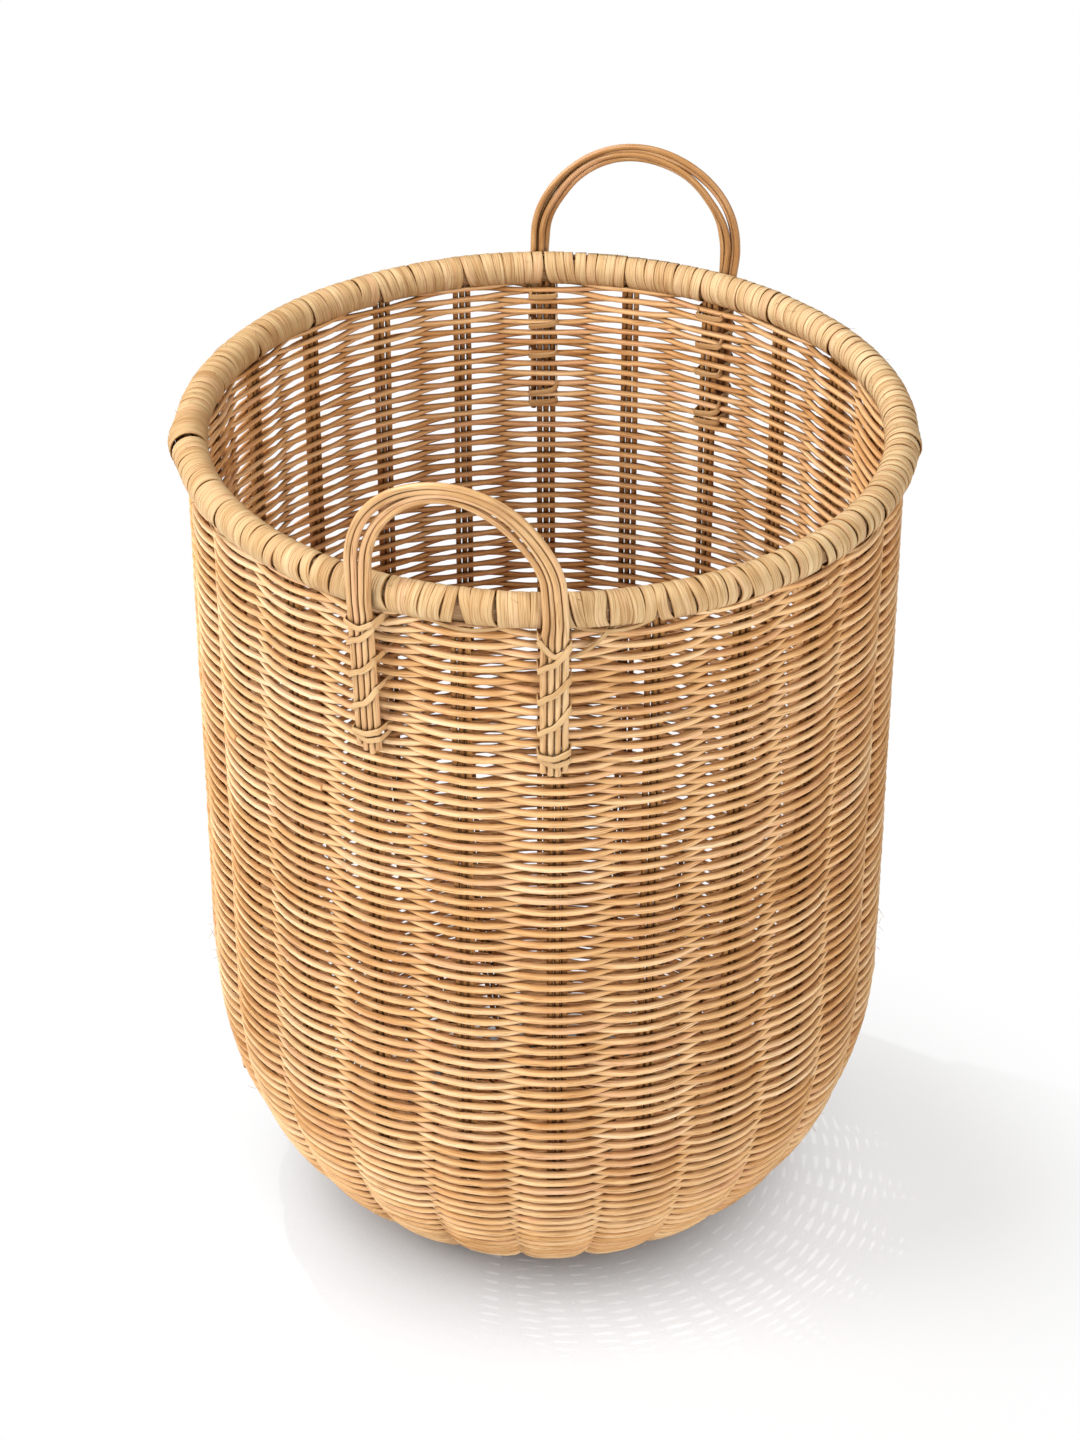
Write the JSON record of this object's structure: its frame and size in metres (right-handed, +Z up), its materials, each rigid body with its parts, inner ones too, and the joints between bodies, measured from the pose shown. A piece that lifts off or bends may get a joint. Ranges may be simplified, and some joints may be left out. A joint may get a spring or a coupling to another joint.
{
  "type": "woven basket with handles",
  "caption": "Round woven basket with straight sides, a bowl-shaped bottom, an open top, a wrapped rim and arched handles lashed to the wall.",
  "frame": {"origin": "on the floor, under the middle of the basket", "axes": "+Z up, out of the mouth; the handles are on the -Y side (front) and the +Y side (back); +X is to the right seen from the front"},
  "size_m": [0.3786, 0.3862, 0.5417],
  "materials": {
    "stake_reed": "matt round reed, reddish brown in the shade of the weave",
    "weaver_reed": "matt to satin round reed, straw and honey tones that vary from strand to strand",
    "hoop_rod": "split rattan rod, matt",
    "wrap_cane": "flat peeled cane, pale cream straw, fibrous and matt",
    "handle_reed": "round reed, satin honey",
    "lashing_cane": "flat cane, pale gold, satin"
  },
  "bodies": {
    "root": {"spoke_01": "stake_reed", "spoke_02": "stake_reed", "spoke_03": "stake_reed", "spoke_04": "stake_reed", "spoke_05": "stake_reed", "spoke_06": "stake_reed", "spoke_07": "stake_reed", "spoke_08": "stake_reed", "spoke_09": "stake_reed", "spoke_10": "stake_reed", "spoke_11": "stake_reed", "spoke_12": "stake_reed", "base_weave": "weaver_reed", "bowl_weave": "weaver_reed", "side_weave": "weaver_reed", "rim_hoop_inner": "hoop_rod", "rim_hoop_outer": "hoop_rod", "rim_wrap": "wrap_cane", "handle_front_reed_1": "handle_reed", "handle_front_reed_2": "handle_reed", "handle_front_reed_3": "handle_reed", "handle_front_reed_4": "handle_reed", "handle_back_reed_1": "handle_reed", "handle_back_reed_2": "handle_reed", "handle_back_reed_3": "handle_reed", "handle_back_reed_4": "handle_reed", "lashing_front_left": "lashing_cane", "lashing_front_right": "lashing_cane", "lashing_back_left": "lashing_cane", "lashing_back_right": "lashing_cane"}
  },
  "joints": []
}
